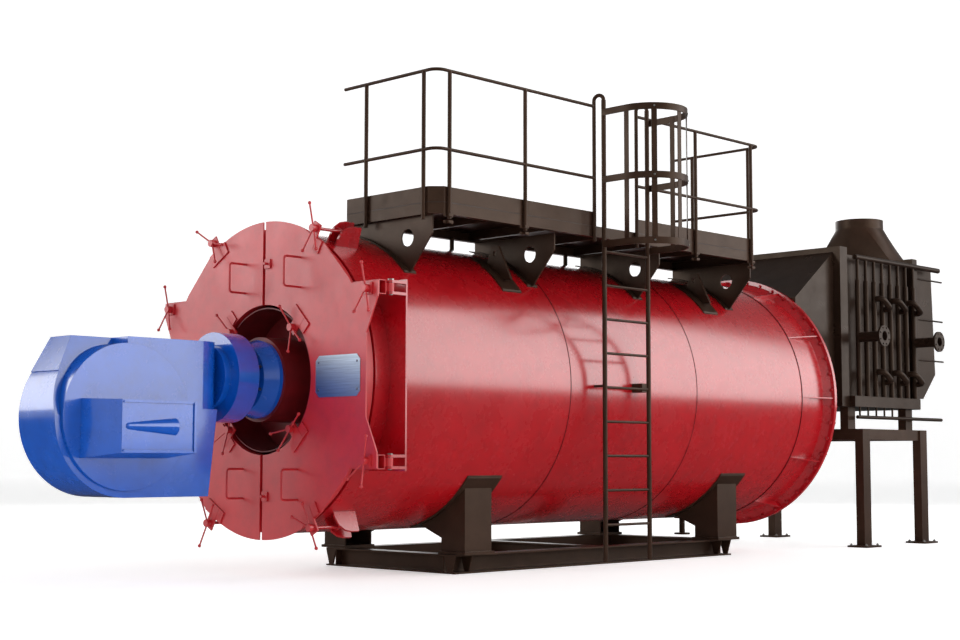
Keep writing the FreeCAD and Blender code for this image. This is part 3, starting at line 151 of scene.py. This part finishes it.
def paint(name, colour, shade, roughness, coat=0.0, wave=0.0, edge=0.003, bare=(0.25, 0.2, 0.18, 1),
          chips=0.25, dust=0.10, peel=0.0004, coat_roughness=0.06, tint=(1, 1, 1, 1), shine=0.5):
    """Sprayed enamel on steel: mottled colour, dusty upper faces, rubbed edges and orange peel."""
    s = Shader(name)
    cloud = s.ramp(s.noise(1.6, 5, 0.6), 0.35, 0.7)
    tone = s.mix(cloud, colour, shade)
    grime = s.math("MULTIPLY", s.ramp(s.noise(9, 6, 0.65), 0.45, 0.75), 0.35)
    tone = s.mix(grime, tone, [0.55 * c for c in shade[:3]] + [1])
    upper = s.ramp(s.facing_up(), 0.75, 1.0)
    settled = s.math("MULTIPLY", upper, s.ramp(s.noise(5, 6, 0.7), 0.3, 0.75, 0, dust))
    tone = s.mix(settled, tone, (0.42, 0.38, 0.34, 1))
    rubbed = s.math("MULTIPLY", s.edges(edge * 1.4), s.ramp(s.noise(22, 5, 0.7), 0.56, 0.64))
    rubbed = s.math("MULTIPLY", rubbed, chips)
    tone = s.mix(rubbed, tone, bare)
    s.surface.inputs["Specular Tint"].default_value = tint
    s.surface.inputs["Specular IOR Level"].default_value = shine
    gloss = s.ramp(s.noise(4, 6, 0.7), 0.3, 0.75, roughness * 0.8, roughness * 1.35)
    gloss = s.math("ADD", gloss, s.math("MULTIPLY", settled, 0.5))
    normal = s.bump(s.noise(420, 2), peel, 0.35, s.soft_edges(edge))
    if wave:
        normal = s.bump(s.noise(1.3, 1.5, 0.4, s.stretch((1.0, 1.0, 1.7))), wave, 1.0, normal)
    return s.finish(tone, gloss, normal, coat=coat, coat_roughness=coat_roughness, coat_ior=1.8)


def chequer_plate(name, colour, shade):
    """Tread plate: one short bar to a cell, turned a quarter from each cell to the next."""
    s = Shader(name)
    split = s.add("ShaderNodeSeparateXYZ")
    s.link(s.stretch((22, 22, 22)), split.inputs[0])
    u, v = split.outputs["X"], split.outputs["Y"]
    cell = s.math("MODULO", s.math("ABSOLUTE", s.math("ADD", s.math("FLOOR", u), s.math("FLOOR", v))), 2.0)
    across = s.math("SUBTRACT", s.math("FRACT", u), 0.5)
    along = s.math("SUBTRACT", s.math("FRACT", v), 0.5)

    def bar(a, b):
        wide = s.ramp(s.math("ABSOLUTE", s.math("SUBTRACT", a, b)), 0.10, 0.16, 1, 0)
        long = s.ramp(s.math("ABSOLUTE", s.math("ADD", a, b)), 0.52, 0.62, 1, 0)
        return s.math("MULTIPLY", wide, long)

    one = s.math("MULTIPLY", bar(across, along), cell)
    flipped = s.math("MULTIPLY", along, -1.0)
    two = s.math("MULTIPLY", bar(across, flipped), s.math("SUBTRACT", 1.0, cell))
    tread = s.math("MULTIPLY", s.math("MAXIMUM", one, two), s.ramp(s.facing_up(), 0.9, 0.99))
    tone = s.mix(s.ramp(s.noise(3, 5), 0.3, 0.7), colour, shade)
    tone = s.mix(s.math("MULTIPLY", tread, 0.5), tone, (0.16, 0.14, 0.125, 1))
    normal = s.bump(tread, 0.0025, 0.8, s.soft_edges(0.003))
    return s.finish(tone, s.ramp(s.noise(6, 5), 0.3, 0.7, 0.34, 0.55), normal)


def bare_metal(name, colour, roughness, streak=(1, 1, 1), bump=0.0002):
    s = Shader(name)
    lines = s.noise(160, 4, 0.6, s.stretch(streak))
    tone = s.mix(s.ramp(lines, 0.3, 0.7), colour, [0.7 * c for c in colour[:3]] + [1])
    gloss = s.ramp(lines, 0.25, 0.75, roughness * 0.8, roughness * 1.3)
    return s.finish(tone, gloss, s.bump(lines, bump, 0.5, s.soft_edges(0.001)), metallic=1.0)


# ------------------------------------------------------------------ finishes
RED, RED_SHADE = (0.40, 0.001, 0.006, 1), (0.35, 0.001, 0.005, 1)
DOOR, DOOR_SHADE = (0.56, 0.003, 0.010, 1), (0.47, 0.002, 0.008, 1)
BLUE, BLUE_SHADE = (0.001, 0.095, 0.54, 1), (0.001, 0.075, 0.44, 1)
BROWN, BROWN_SHADE = (0.040, 0.020, 0.013, 1), (0.024, 0.011, 0.007, 1)
CASING, CASING_SHADE = (0.022, 0.012, 0.008, 1), (0.014, 0.007, 0.005, 1)

WARM = (1.0, 0.74, 0.55, 1)
SHELL_SEAMS = (-0.973, 0.846, 2.646)  # along X, the last where the rear band begins

finishes = {
    "red_shell": paint("shell_enamel", RED, RED_SHADE, 0.26, coat=1.0, wave=0.005, chips=0.12, dust=0.03,
                       coat_roughness=0.19),
    "red_doors": paint("door_enamel", DOOR, DOOR_SHADE, 0.45, coat=0.7, wave=0.0015, chips=0.30, dust=0.05,
                       coat_roughness=0.42),
    "blue_burner": paint("burner_enamel", BLUE, BLUE_SHADE, 0.24, coat=1.0, wave=0.002, chips=0.12, dust=0.04,
                         edge=0.006, coat_roughness=0.12),
    "dark_steel": paint("brown_paint", BROWN, BROWN_SHADE, 0.34, chips=0.4, dust=0.02,
                        bare=(0.22, 0.15, 0.11, 1), tint=WARM, shine=0.30),
    "unit_casing": paint("casing_paint", CASING, CASING_SHADE, 0.32, wave=0.002, chips=0.4, dust=0.02,
                         bare=(0.24, 0.17, 0.12, 1), tint=WARM, shine=0.32),
    "bare_plate": bare_metal("plate_aluminium", (0.78, 0.86, 0.90, 1), 0.42, (1, 0.02, 1)),
    "bright_pins": bare_metal("turned_steel", (0.52, 0.50, 0.48, 1), 0.24, (1, 1, 0.1)),
}
zinc = bare_metal("zinc_bolts", (0.46, 0.45, 0.42, 1), 0.38)
tread_plate = chequer_plate("tread_plate", BROWN, BROWN_SHADE)
# Darker red for the burner recess: painted shade in the hollow.
recess_shade_finish = paint("recess_painted_shade", (0.20, 0.006, 0.009, 1), (0.10, 0.004, 0.006, 1), 0.42, chips=0.2)

for name, thing in nodes.items():
    slot = slot_of[name]
    thing.data.materials.clear()
    thing.data.materials.append(finishes[slot])
nodes["platform_floor"].data.materials[0] = tread_plate
# Painted shade: the recess takes the darker red.
nodes["burner_recess"].data.materials[0] = recess_shade_finish


# ------------------------------------------------------------------ mesh helpers
def keep(name, shape, finish, body="boiler", smooth=40):
    mesh = bpy.data.meshes.new(name)
    shape.to_mesh(mesh)
    shape.free()
    mesh.materials.append(finish)
    mesh.shade_smooth()
    mesh.set_sharp_from_angle(angle=math.radians(smooth))
    thing = bpy.data.objects.new(name, mesh)
    bpy.context.scene.collection.objects.link(thing)
    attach(thing, body)
    return thing


def turned_to(direction, at, spin=0.0):
    """A matrix that carries +Z to the direction and the origin to the point."""
    turn = Vector(direction).normalized().to_track_quat("Z", "Y").to_matrix().to_4x4()
    return Matrix.Translation(Vector(at)) @ turn @ Matrix.Rotation(spin, 4, "Z")


def rings(shape, matrix, profile, count, phase=0.0):
    """A turned solid: profile holds (radius, height) pairs from the base up."""
    loops = []
    for radius, height in profile:
        loops.append([shape.verts.new(matrix @ Vector((radius * math.cos(phase + 2 * math.pi * k / count),
                                                       radius * math.sin(phase + 2 * math.pi * k / count),
                                                       height))) for k in range(count)])
    for low, high in zip(loops, loops[1:]):
        for k in range(count):
            shape.faces.new((low[k], low[(k + 1) % count], high[(k + 1) % count], high[k]))
    shape.faces.new(loops[-1])
    shape.faces.new(list(reversed(loops[0])))


def bolt(shape, at, direction, across, spin=0.0, shank=True):
    """Washer, hexagon head with a chamfered top, and the shank's end above it."""
    matrix = turned_to(direction, at, spin)
    washer = across * 0.62
    rings(shape, matrix, [(washer, 0), (washer, across * 0.09), (across * 0.58, across * 0.12)], 14)
    corner = across / math.sqrt(3)
    rings(shape, matrix,
          [(corner, across * 0.12), (corner, across * 0.52), (corner * 0.84, across * 0.60)], 6)
    if shank:
        rings(shape, matrix, [(across * 0.27, across * 0.6), (across * 0.27, across * 0.78),
                              (across * 0.22, across * 0.83)], 10)


def bolts(name, places, across, finish, body="boiler", shank=True):
    """One piece of like bolts; each place is a point and the direction of its head."""
    shape = bmesh.new()
    turns = random.Random(name)
    for at, direction in places:
        bolt(shape, at, direction, across, turns.uniform(0, 1.0), shank)
    return keep(name, shape, finish, body)


def bead(shape, points, radius, seed=0):
    """A weld run along the points: a flattened tube with ripples."""
    loops = []
    for k, point in enumerate(points):
        ahead = (points[min(k + 1, len(points) - 1)] - points[max(k - 1, 0)]).normalized()
        side = ahead.cross(Z if abs(ahead.z) < 0.9 else X).normalized()
        up = side.cross(ahead)
        swell = radius * (1 + 0.22 * noise.noise(point * 160 + Vector((seed, 0, 0))))
        loops.append([shape.verts.new(point + (side * math.cos(a) + up * math.sin(a)) * swell)
                      for a in (math.pi * j / 3 for j in range(6))])
    for low, high in zip(loops, loops[1:]):
        for k in range(6):
            shape.faces.new((low[k], low[(k + 1) % 6], high[(k + 1) % 6], high[k]))
    shape.faces.new(loops[-1])
    shape.faces.new(list(reversed(loops[0])))


def walk(points, step=0.012):
    """Points at about an even step along a polyline."""
    out = [Vector(points[0])]
    for a, b in zip(points, points[1:]):
        a, b = Vector(a), Vector(b)
        count = max(1, round((b - a).length / step))
        out += [a.lerp(b, k / count) for k in range(1, count + 1)]
    return out


def shell_point(x, angle, radius):
    """A point about the boiler's axis; the angle is from -Y towards +Z."""
    return Vector((x, -radius * math.cos(angle), AXIS_Z + radius * math.sin(angle)))


def arc(x, start, end, radius, step=0.012):
    count = max(2, round(abs(end - start) * radius / step))
    return [shell_point(x, start + (end - start) * k / count, radius) for k in range(count + 1)]


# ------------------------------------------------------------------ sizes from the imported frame
low_shell, high_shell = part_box("boiler_shell")
SHELL_R = (high_shell.z - low_shell.z) / 2
low_band, high_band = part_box("rear_band")
FLANGE_R = (high_band.z - low_band.z) / 2
low_case, high_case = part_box("coil_casing")
low_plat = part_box("platform_frame")[0]
low_damper, high_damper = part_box("air_damper_box")
low_plate, high_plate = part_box("data_plate")
low_skid, high_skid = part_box("skid_beams")
low_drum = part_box("burner_flange")[0]
high_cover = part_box("rear_cover")[1]


# ------------------------------------------------------------------ fasteners
def around(x, radius, count, direction, phase=0.5):
    return [(shell_point(x, 2 * math.pi * (k + phase) / count, radius), direction) for k in range(count)]


FLANGE_THICKNESS, COVER_BOLTS, COVER_BOLT_SIZE = 0.040, 48, 0.032
cover_bolt_r = (SHELL_R + 0.03 + FLANGE_R) / 2
for word, x, out_way in (("nuts", high_band.x - FLANGE_THICKNESS, -X), ("bolts", high_cover.x, X)):
    bolts("rear_cover_" + word, around(x, cover_bolt_r, COVER_BOLTS, out_way), COVER_BOLT_SIZE,
          finishes["red_shell"])

DRUM_SCREW_R, DRUM_SCREWS = 0.235, 8
bolts("drum_screws", around(low_drum.x, DRUM_SCREW_R, DRUM_SCREWS, -X), 0.022, zinc)

low_stand, high_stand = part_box("unit_stand")
FOOT_X, FOOT_Y, FOOT_Z, INSET = 0.300, 0.250, 0.020, 0.032
feet = [(x, y) for x in (low_stand.x, high_stand.x - FOOT_X) for y in (low_stand.y, high_stand.y - FOOT_Y)]
bolts("stand_anchors", [(Vector((x + dx, y + dy, FOOT_Z)), Z) for x, y in feet
                        for dx in (INSET, FOOT_X - INSET) for dy in (INSET, FOOT_Y - INSET)],
      0.026, zinc)

DAMPER_FACE = 0.035  # the box's rim lies this far behind the scoop
bolts("damper_screws", [(Vector((x, low_damper.y + DAMPER_FACE, z)), -Y)
                        for x in (low_damper.x + 0.105, high_damper.x - 0.035)
                        for z in (low_damper.z + 0.055, high_damper.z - 0.030)],
      0.014, finishes["blue_burner"], shank=False)

RIVET_Y, RIVET_Z = 0.035, 0.055
rivets = bmesh.new()
for y in (low_plate.y + RIVET_Y, high_plate.y - RIVET_Y):
    for z in (low_plate.z + RIVET_Z, high_plate.z - RIVET_Z):
        rings(rivets, turned_to(-X, (low_plate.x, y, z)),
              [(0.009, 0), (0.0086, 0.002), (0.006, 0.0038), (0.002, 0.0045)], 14)
keep("plate_rivets", rivets, finishes["bright_pins"], "near_leaf")

FRAME_DEPTH, LEDGE, TROUGH, COLUMN_PITCH, ROW_PITCH = 0.150, 0.045, 0.12, 0.126, 0.1275
column = [low_case.z + 0.07 + k * COLUMN_PITCH for k in range(14)]
row = [-0.83 + k * ROW_PITCH for k in range(14)]
half = high_case.y - LEDGE
for word, x in (("front", low_case.x + FRAME_DEPTH), ("rear", high_case.x)):
    places = [(Vector((x, side * half, z)), X) for side in (-1, 1) for z in column
              if word == "rear" or side > 0 or z > low_case.z + TROUGH]
    if word == "rear":
        places += [(Vector((x, y, high_case.z - 0.030)), X) for y in row]
    bolts("unit_bolts_" + word, places, 0.026, zinc)

gussets = bmesh.new()
for side in (-1, 1):
    outer, inner = side * (high_case.y - 0.012), side * (high_case.y - 0.086)
    for k in range(5):
        z = low_case.z + 0.22 + k * 0.335
        x = low_case.x + FRAME_DEPTH
        corners = [(x, outer, z), (x, inner, z), (x + 0.105, inner, z + 0.05), (x + 0.02, outer, z + 0.115)]
        faces = [[gussets.verts.new((cx, cy, cz + dz)) for cx, cy, cz in corners] for dz in (0.0, 0.012)]
        gussets.faces.new(faces[0])
        gussets.faces.new(list(reversed(faces[1])))
        for j in range(4):
            gussets.faces.new((faces[0][j], faces[0][(j + 1) % 4], faces[1][(j + 1) % 4], faces[1][j]))
bmesh.ops.recalc_face_normals(gussets, faces=gussets.faces)
keep("unit_gussets", gussets, finishes["unit_casing"], smooth=30)

low_cage, high_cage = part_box("ladder_cage")
MIDDLE_HOOP, HALF_HOOP = 3.425, 0.03
cage_r = (high_cage.x - low_cage.x) / 2
cage_centre = Vector(((low_cage.x + high_cage.x) / 2, low_cage.y + cage_r, 0))
places = []
for z in (low_cage.z + HALF_HOOP, MIDDLE_HOOP, high_cage.z - HALF_HOOP):
    for degrees in (-135, -45):
        angle = math.radians(degrees)
        out_way = Vector((math.cos(angle), math.sin(angle), 0))
        places.append((cage_centre + out_way * (cage_r - 0.0005) + Z * z, out_way))
bolts("cage_bolts", places, 0.015, zinc, shank=False)

# ------------------------------------------------------------------ weld beads
welds = bmesh.new()
BEAD, SKIN = 0.0045, 0.003


def pad_beads(shape, centre, half, near, far, top):
    """Beads round a strip on the shell between two distances from the centre plane.

    top is 1 on the upper half of the shell and -1 on the lower.
    """
    start, end = (top * math.acos(reach / SHELL_R) for reach in (near, far))
    for x in (centre - half, centre + half):
        bead(shape, arc(x, start, end, SHELL_R + SKIN), BEAD, x)
    bead(shape, walk([shell_point(centre - half, start, SHELL_R + SKIN),
                      shell_point(centre + half, start, SHELL_R + SKIN)]), BEAD, centre)


def stations(node):
    """Middles and half widths along X of the separate solids of a node, from its vertices."""
    found = []
    for vertex in sorted(nodes[node].data.vertices, key=lambda v: v.co.x):
        if not found or vertex.co.x - found[-1][1] > 0.3:
            found.append([vertex.co.x, vertex.co.x])
        found[-1][1] = vertex.co.x
    return [((low + high) / 2, (high - low) / 2) for low, high in found]


# each pad's edges, as distances from the boiler's centre plane
BRACKET_PAD, LUG_PAD, SADDLE_PAD = (0.896, 0.175), (0.962, 0.576), (0.976, 0.290)
for middle, half in stations("platform_brackets"):
    pad_beads(welds, middle, half, *BRACKET_PAD, 1)
for middle, half in stations("lifting_lugs"):
    pad_beads(welds, middle, half, *LUG_PAD, 1)
BASE_REACH, BASE_HALF, BASE_TOP = 0.9, 0.16, 0.185
for node in ("saddle_front", "saddle_rear"):
    (middle, half), = stations(node)
    pad_beads(welds, middle, half, *SADDLE_PAD, -1)
    far_side = bmesh.new()
    pad_beads(far_side, middle, half, *SADDLE_PAD, -1)
    bmesh.ops.transform(far_side, matrix=Matrix.Scale(-1, 4, Y), verts=far_side.verts)
    bmesh.ops.reverse_faces(far_side, faces=far_side.faces)
    spare = bpy.data.meshes.new("spare")
    far_side.to_mesh(spare)
    welds.from_mesh(spare)
    far_side.free()
    for way in (-1, 1):
        foot = [Vector((middle + dx, way * BASE_REACH, low_skid.z + BASE_TOP))
                for dx in (-BASE_HALF, BASE_HALF)]
        bead(welds, walk(foot), 0.006, way)
LEG_NEAR, LEG_FAR_X, LEG_FAR_Y = 0.075, 0.225, 0.175
for x, y in feet:
    corners = [(x + LEG_NEAR, y + LEG_NEAR), (x + LEG_FAR_X, y + LEG_NEAR),
               (x + LEG_FAR_X, y + LEG_FAR_Y), (x + LEG_NEAR, y + LEG_FAR_Y)]
    bead(welds, walk([Vector((cx, cy, FOOT_Z + 0.001)) for cx, cy in corners + corners[:1]]), 0.005, x)
CROSS_HALF, BEAM_WEB = 0.07, 0.686
for way in (-1, 1):
    for centre_x in (low_skid.x + CROSS_HALF, 0.0, high_skid.x - CROSS_HALF):
        for dx in (-CROSS_HALF, CROSS_HALF):
            bead(welds, walk([Vector((centre_x + dx, way * BEAM_WEB, z)) for z in (0.016, 0.144)]), 0.005, dx)
keep("steel_welds", welds, finishes["dark_steel"], smooth=60)

# ------------------------------------------------------------------ painted shadow in the cladding's seams
# Dark beads round the shell at each seam. They are painted shadow standing in for the lap joints' shade.
seam_shadow_mesh = bmesh.new()
for k, station in enumerate(SHELL_SEAMS):
    lift = 0.003 if k == 2 else 0.0
    bead(seam_shadow_mesh, arc(station, -math.pi, math.pi, SHELL_R + lift), 0.0038, k)
# Near-black enamel for the seam beads: painted shadow, not a real sealant.
seam_shadow_finish = paint("seam_painted_shadow", (0.018, 0.002, 0.003, 1), (0.010, 0.001, 0.002, 1), 0.6, chips=0.0,
                dust=0.02, shine=0.2)
keep("seam_shadow_bead", seam_shadow_mesh, seam_shadow_finish, smooth=60)

# ------------------------------------------------------------------ cleats that hold the rail posts
cleats = bmesh.new()
POSTS = (0.875, 1.778, 4.186, 5.105)  # along X, from the doors' outer face


def strap(shape, at, half_width, depth, height, thickness=0.005):
    """A flat bar bent round a post and back on to the fascia; the post stands at -Y of it."""
    outline = [(-half_width - 0.030, 0), (-half_width, 0), (-half_width, -depth), (half_width, -depth),
               (half_width, 0), (half_width + 0.030, 0)]
    inside = [(-half_width - 0.030, thickness), (-half_width + thickness, thickness),
              (-half_width + thickness, -depth + thickness), (half_width - thickness, -depth + thickness),
              (half_width - thickness, thickness), (half_width + 0.030, thickness)]
    levels = []
    for z in (-height / 2, height / 2):
        levels.append([[shape.verts.new(at + Vector((x, y - thickness, z))) for x, y in line]
                       for line in (outline, inside)])
    for k in range(5):
        for line in (0, 1):
            shape.faces.new((levels[0][line][k], levels[0][line][k + 1], levels[1][line][k + 1],
                             levels[1][line][k]))
        for level in levels:
            shape.faces.new((level[0][k], level[0][k + 1], level[1][k + 1], level[1][k]))


for x in POSTS:
    for z in (low_plat.z + 0.030, low_plat.z + 0.085):
        strap(cleats, Vector((x - DOOR_FACE, low_plat.y, z)), 0.0235, 0.036, 0.022)
bmesh.ops.recalc_face_normals(cleats, faces=cleats.faces)
keep("post_cleats", cleats, finishes["dark_steel"], smooth=30)

# ------------------------------------------------------------------ studio
# The paper gives some light of its own, and neither it nor the overhead fill shows in reflections.
scene = bpy.context.scene
floor_mesh = bpy.data.meshes.new("studio_floor")
sweep = bmesh.new()
FLAT, CURVE, RISE, SIDES = 62.0, 14.0, 70.0, 96
profile = [(0.001, 0.0), (FLAT, 0.0)]
profile += [(FLAT + CURVE * math.sin(a), CURVE * (1 - math.cos(a)))
            for a in (math.pi / 2 * k / 16 for k in range(1, 17))]
profile.append((FLAT + CURVE, RISE))
rows = [[sweep.verts.new((out * math.cos(a), out * math.sin(a), up - 0.0008))
         for a in (2 * math.pi * k / SIDES for k in range(SIDES))] for out, up in profile]
for low, high in zip(rows, rows[1:]):
    for k in range(SIDES):
        j = (k + 1) % SIDES
        sweep.faces.new((low[k], high[k], high[j], low[j]))
bmesh.ops.remove_doubles(sweep, verts=rows[0], dist=0.01)
sweep.to_mesh(floor_mesh)
sweep.free()
floor_mesh.shade_smooth()
paper = Shader("studio_paper")
paper.surface.inputs["Specular IOR Level"].default_value = 0.15
paper_tone = paper.mix(paper.noise(0.4, 2), (0.90, 0.90, 0.90, 1), (0.87, 0.87, 0.87, 1))
paper_normal = paper.bump(paper.noise(60, 3), 0.0005, 0.3)
paper.surface.inputs["Emission Color"].default_value = (1, 1, 1, 1)
paper.surface.inputs["Emission Strength"].default_value = 0.50
floor_mesh.materials.append(paper.finish(paper_tone, 0.75, paper_normal))
floor = bpy.data.objects.new("studio_floor", floor_mesh)
scene.collection.objects.link(floor)
floor.visible_glossy = False

world = bpy.data.worlds.new("studio")
scene.world = world
world.use_nodes = True
sky = world.node_tree
height = sky.nodes.new("ShaderNodeSeparateXYZ")
sky.links.new(sky.nodes.new("ShaderNodeTexCoord").outputs["Generated"], height.inputs[0])
shift = sky.nodes.new("ShaderNodeMapRange")
shift.inputs["From Min"].default_value = -1.0
sky.links.new(height.outputs["Z"], shift.inputs["Value"])
bands = sky.nodes.new("ShaderNodeValToRGB")
bands.color_ramp.elements[0].position, bands.color_ramp.elements[0].color = 0.0, (0.05, 0.05, 0.05, 1)
bands.color_ramp.elements[1].position, bands.color_ramp.elements[1].color = 1.0, (0.08, 0.08, 0.08, 1)
for spot, tone in ((0.495, 0.06), (0.503, 0.50), (0.65, 0.45), (0.75, 0.15)):
    bands.color_ramp.elements.new(spot).color = (tone, tone, tone, 1)
sky.links.new(shift.outputs["Result"], bands.inputs["Fac"])
sky.links.new(bands.outputs["Color"], sky.nodes["Background"].inputs["Color"])
sky.nodes["Background"].inputs["Strength"].default_value = 1.0


def softbox(name, at, aim, size, watts):
    light = bpy.data.lights.new(name, "AREA")
    light.shape = "RECTANGLE"
    light.size, light.size_y = size
    light.energy = watts
    thing = bpy.data.objects.new(name, light)
    thing.location = at
    thing.rotation_mode = "QUATERNION"
    thing.rotation_quaternion = (Vector(aim) - Vector(at)).to_track_quat("-Z", "Y")
    scene.collection.objects.link(thing)
    return thing


softbox("key", (9.4, -12.9, 8.4), (0, 0, 3.8), (20, 15), 2350)
softbox("front", (-12.5, 11.5, 6.5), (-3.4, 0, 1.6), (9, 8), 750)
softbox("rear", (12.5, 12.0, 7.5), (1.0, 0, 1.8), (12, 9), 900)
overhead = softbox("overhead", (0.0, -3.0, 14.0), (0, 0, 0), (14, 9), 350)
overhead.visible_glossy = False

scene.view_settings.view_transform = "Standard"
scene.view_settings.look = "None"
scene.view_settings.exposure = -0.27

camera_data = bpy.data.cameras.new("camera")
camera = bpy.data.objects.new("camera", camera_data)
scene.collection.objects.link(camera)
camera_data.sensor_width = 36
camera_data.lens = 59.74
camera_data.clip_end = 300
right, up = Vector((0.69786, -0.71624, 0.00180)), Vector((-0.06347, -0.05934, 0.99622))
look = Vector((0.71342, 0.69533, 0.08687))
camera.matrix_world = Matrix(((right.x, up.x, -look.x, -11.420), (right.y, up.y, -look.y, -10.327),
                              (right.z, up.z, -look.z, 0.960), (0, 0, 0, 1)))
scene.camera = camera
